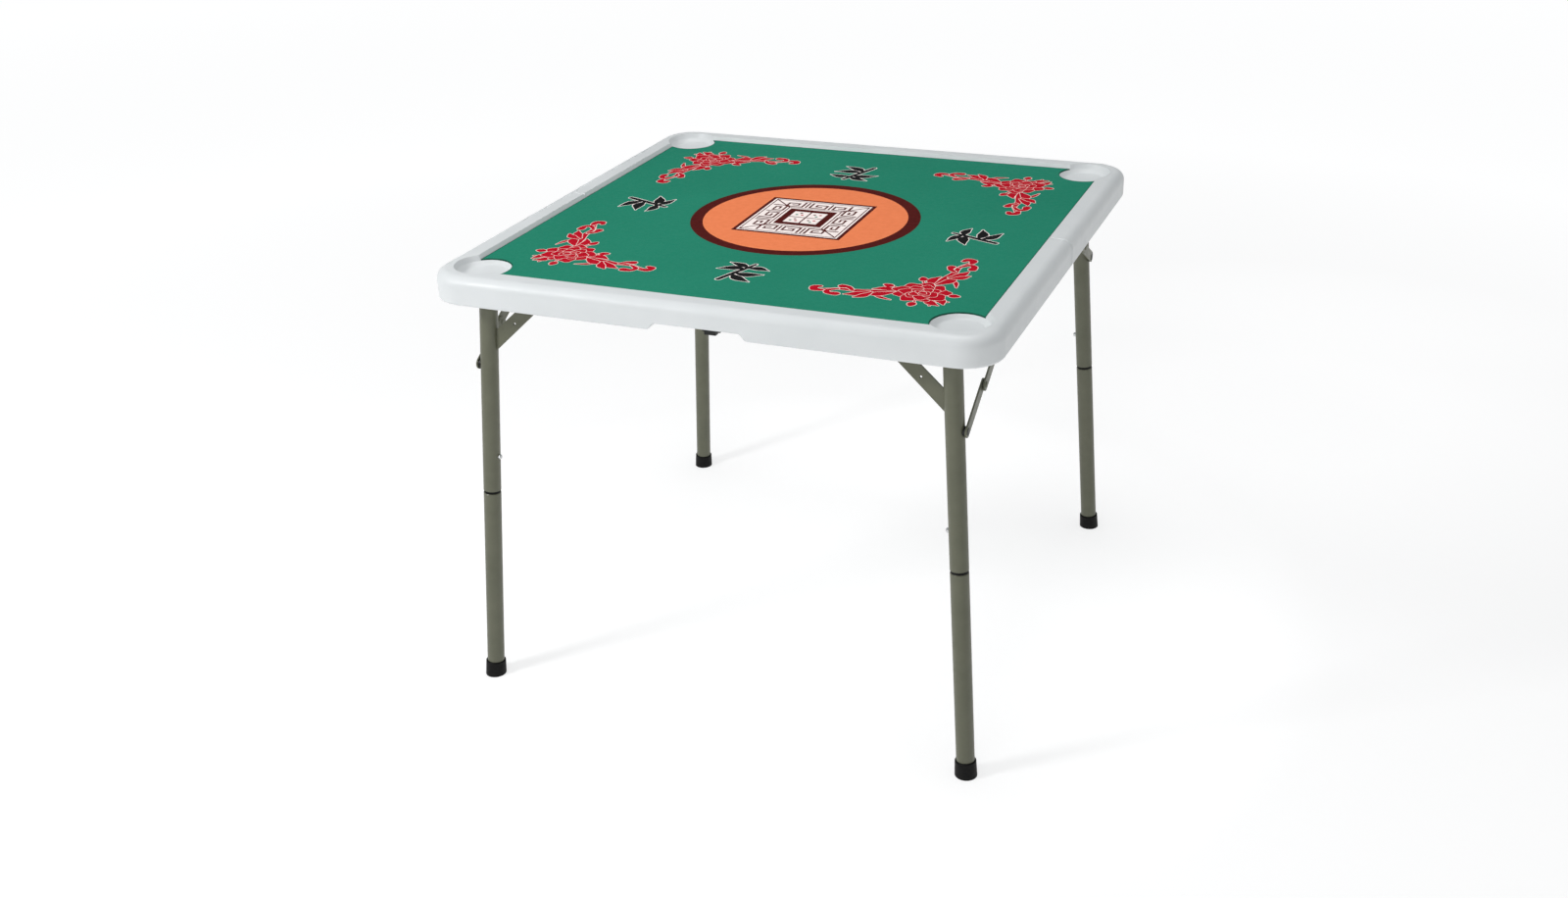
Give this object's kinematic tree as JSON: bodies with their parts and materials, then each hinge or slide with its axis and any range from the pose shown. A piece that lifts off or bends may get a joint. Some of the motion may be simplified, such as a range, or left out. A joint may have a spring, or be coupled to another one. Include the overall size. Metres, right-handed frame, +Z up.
{
  "type": "mahjong table",
  "caption": "Square fold-in-half card and mahjong table with a raised white rim, corner cup recesses, a printed green mat, splayed folding leg frames and pull-off lower legs.",
  "frame": {"origin": "on the floor, under the middle of the square top", "axes": "+Z up; X along the fold line; the front half, its edge towards the viewer, on the -Y side"},
  "size_m": [0.88, 0.88, 0.71],
  "materials": {
    "white_plastic": "fine grained, semi-matte",
    "green_mat": "matte printed",
    "leg_coat": "satin powder coat",
    "black_rubber": "matte",
    "black_plastic": "semi-matte",
    "plated_steel": "zinc plated"
  },
  "bodies": {
    "rear_half": {"rear_top": "white_plastic", "playing_mat": "green_mat", "rear_hinge_leaves": "plated_steel", "hinge_pins": "plated_steel", "rear_hinge_screws": "plated_steel", "rear_pivot_brackets": "black_plastic", "rear_bracket_screws": "plated_steel", "rear_stay_brackets": "plated_steel", "handle_mount": "black_plastic"},
    "front_half": {"front_top": "white_plastic", "front_hinge_leaves": "plated_steel", "front_hinge_screws": "plated_steel", "front_pivot_brackets": "black_plastic", "front_bracket_screws": "plated_steel", "front_stay_brackets": "plated_steel", "catch_base": "black_plastic"},
    "front_frame": {"front_crossbar": "leg_coat", "front_left_upper_leg": "leg_coat", "front_right_upper_leg": "leg_coat", "front_gussets": "leg_coat", "front_stay_spacers": "black_plastic"},
    "rear_frame": {"rear_crossbar": "leg_coat", "rear_left_upper_leg": "leg_coat", "rear_right_upper_leg": "leg_coat", "rear_gussets": "leg_coat", "rear_stay_spacers": "black_plastic"},
    "handle": {"carry_handle": "black_plastic"},
    "catch": {"catch_hook": "black_plastic"},
    "front_left_lower": {"front_left_lower_leg": "leg_coat", "front_left_collar": "black_rubber", "front_left_foot": "black_rubber", "front_left_button_spring": "plated_steel"},
    "front_left_button": {"front_left_button": "plated_steel"},
    "front_left_stay_low": {"front_left_stay_lower": "leg_coat"},
    "front_left_stay_up": {"front_left_stay_upper": "leg_coat"},
    "front_right_lower": {"front_right_lower_leg": "leg_coat", "front_right_collar": "black_rubber", "front_right_foot": "black_rubber", "front_right_button_spring": "plated_steel"},
    "front_right_button": {"front_right_button": "plated_steel"},
    "front_right_stay_low": {"front_right_stay_lower": "leg_coat"},
    "front_right_stay_up": {"front_right_stay_upper": "leg_coat"},
    "rear_left_lower": {"rear_left_lower_leg": "leg_coat", "rear_left_collar": "black_rubber", "rear_left_foot": "black_rubber", "rear_left_button_spring": "plated_steel"},
    "rear_left_button": {"rear_left_button": "plated_steel"},
    "rear_left_stay_low": {"rear_left_stay_lower": "leg_coat"},
    "rear_left_stay_up": {"rear_left_stay_upper": "leg_coat"},
    "rear_right_lower": {"rear_right_lower_leg": "leg_coat", "rear_right_collar": "black_rubber", "rear_right_foot": "black_rubber", "rear_right_button_spring": "plated_steel"},
    "rear_right_button": {"rear_right_button": "plated_steel"},
    "rear_right_stay_low": {"rear_right_stay_lower": "leg_coat"},
    "rear_right_stay_up": {"rear_right_stay_upper": "leg_coat"}
  },
  "joints": [
    {"name": "table_fold", "type": "hinge", "parent": "rear_half", "child": "front_half", "pos_m": [0, 0, 0.6655], "axis": [-1, 0, 0], "range_deg": [-55, 0]},
    {"name": "front_legs_fold", "type": "hinge", "parent": "front_half", "child": "front_frame", "pos_m": [0, -0.3787, 0.6795], "axis": [1, 0, 0], "range_deg": [0, 83]},
    {"name": "front_left_leg_pull", "type": "slide", "parent": "front_frame", "child": "front_left_lower", "axis": [-0.0653, -0.056, -0.9963], "range_m": [0, 0.25], "deforming": ["front_left_button", "front_left_button_spring"]},
    {"name": "front_left_button_press", "type": "slide", "parent": "front_left_lower", "child": "front_left_button", "axis": [-0.9979, 0.0037, 0.0652], "range_m": [0, 0.0042], "stiffness_N_per_m": 300, "deforming": ["front_left_button_spring"]},
    {"name": "front_left_stay_lower_turn", "type": "hinge", "parent": "front_frame", "child": "front_left_stay_low", "pos_m": [-0.3946, -0.38587, 0.55197], "axis": [1, 0, 0], "range_deg": [-1, 56.11]},
    {"name": "front_left_stay_upper_turn", "type": "hinge", "parent": "front_half", "child": "front_left_stay_up", "pos_m": [-0.3983, -0.158, 0.6795], "axis": [1, 0, 0], "range_deg": [-28.86, 1]},
    {"name": "front_right_leg_pull", "type": "slide", "parent": "front_frame", "child": "front_right_lower", "axis": [0.0653, -0.056, -0.9963], "range_m": [0, 0.25], "deforming": ["front_right_button", "front_right_button_spring"]},
    {"name": "front_right_button_press", "type": "slide", "parent": "front_right_lower", "child": "front_right_button", "axis": [0.9979, 0.0037, 0.0652], "range_m": [0, 0.0042], "stiffness_N_per_m": 300, "deforming": ["front_right_button_spring"]},
    {"name": "front_right_stay_lower_turn", "type": "hinge", "parent": "front_frame", "child": "front_right_stay_low", "pos_m": [0.3946, -0.38587, 0.55197], "axis": [1, 0, 0], "range_deg": [-1, 56.11]},
    {"name": "front_right_stay_upper_turn", "type": "hinge", "parent": "front_half", "child": "front_right_stay_up", "pos_m": [0.3983, -0.158, 0.6795], "axis": [1, 0, 0], "range_deg": [-28.86, 1]},
    {"name": "rear_legs_fold", "type": "hinge", "parent": "rear_half", "child": "rear_frame", "pos_m": [0, 0.3787, 0.6795], "axis": [-1, 0, 0], "range_deg": [0, 83]},
    {"name": "rear_left_leg_pull", "type": "slide", "parent": "rear_frame", "child": "rear_left_lower", "axis": [-0.0653, 0.056, -0.9963], "range_m": [0, 0.25], "deforming": ["rear_left_button", "rear_left_button_spring"]},
    {"name": "rear_left_button_press", "type": "slide", "parent": "rear_left_lower", "child": "rear_left_button", "axis": [-0.9979, -0.0037, 0.0652], "range_m": [0, 0.0042], "stiffness_N_per_m": 300, "deforming": ["rear_left_button_spring"]},
    {"name": "rear_left_stay_lower_turn", "type": "hinge", "parent": "rear_frame", "child": "rear_left_stay_low", "pos_m": [-0.3946, 0.38587, 0.55197], "axis": [-1, 0, 0], "range_deg": [-1, 56.11]},
    {"name": "rear_left_stay_upper_turn", "type": "hinge", "parent": "rear_half", "child": "rear_left_stay_up", "pos_m": [-0.3983, 0.158, 0.6795], "axis": [-1, 0, 0], "range_deg": [-28.86, 1]},
    {"name": "rear_right_leg_pull", "type": "slide", "parent": "rear_frame", "child": "rear_right_lower", "axis": [0.0653, 0.056, -0.9963], "range_m": [0, 0.25], "deforming": ["rear_right_button", "rear_right_button_spring"]},
    {"name": "rear_right_button_press", "type": "slide", "parent": "rear_right_lower", "child": "rear_right_button", "axis": [0.9979, -0.0037, 0.0652], "range_m": [0, 0.0042], "stiffness_N_per_m": 300, "deforming": ["rear_right_button_spring"]},
    {"name": "rear_right_stay_lower_turn", "type": "hinge", "parent": "rear_frame", "child": "rear_right_stay_low", "pos_m": [0.3946, 0.38587, 0.55197], "axis": [-1, 0, 0], "range_deg": [-1, 56.11]},
    {"name": "rear_right_stay_upper_turn", "type": "hinge", "parent": "rear_half", "child": "rear_right_stay_up", "pos_m": [0.3983, 0.158, 0.6795], "axis": [-1, 0, 0], "range_deg": [-28.86, 1]},
    {"name": "handle_swing", "type": "hinge", "parent": "rear_half", "child": "handle", "pos_m": [0.009, 0.428, 0.6707], "axis": [1, 0, 0], "range_deg": [-70, 85]},
    {"name": "catch_swing", "type": "hinge", "parent": "front_half", "child": "catch", "pos_m": [0.017, -0.403, 0.6745], "axis": [1, 0, 0], "range_deg": [-40, 40]}
  ],
  "couplings": [
    {"joint": "front_left_stay_lower_turn", "follows": "front_legs_fold", "ratio": 0.66394},
    {"joint": "front_left_stay_upper_turn", "follows": "front_legs_fold", "ratio": -0.3357},
    {"joint": "front_right_stay_lower_turn", "follows": "front_legs_fold", "ratio": 0.66394},
    {"joint": "front_right_stay_upper_turn", "follows": "front_legs_fold", "ratio": -0.3357},
    {"joint": "rear_left_stay_lower_turn", "follows": "rear_legs_fold", "ratio": 0.66394},
    {"joint": "rear_left_stay_upper_turn", "follows": "rear_legs_fold", "ratio": -0.3357},
    {"joint": "rear_right_stay_lower_turn", "follows": "rear_legs_fold", "ratio": 0.66394},
    {"joint": "rear_right_stay_upper_turn", "follows": "rear_legs_fold", "ratio": -0.3357}
  ]
}
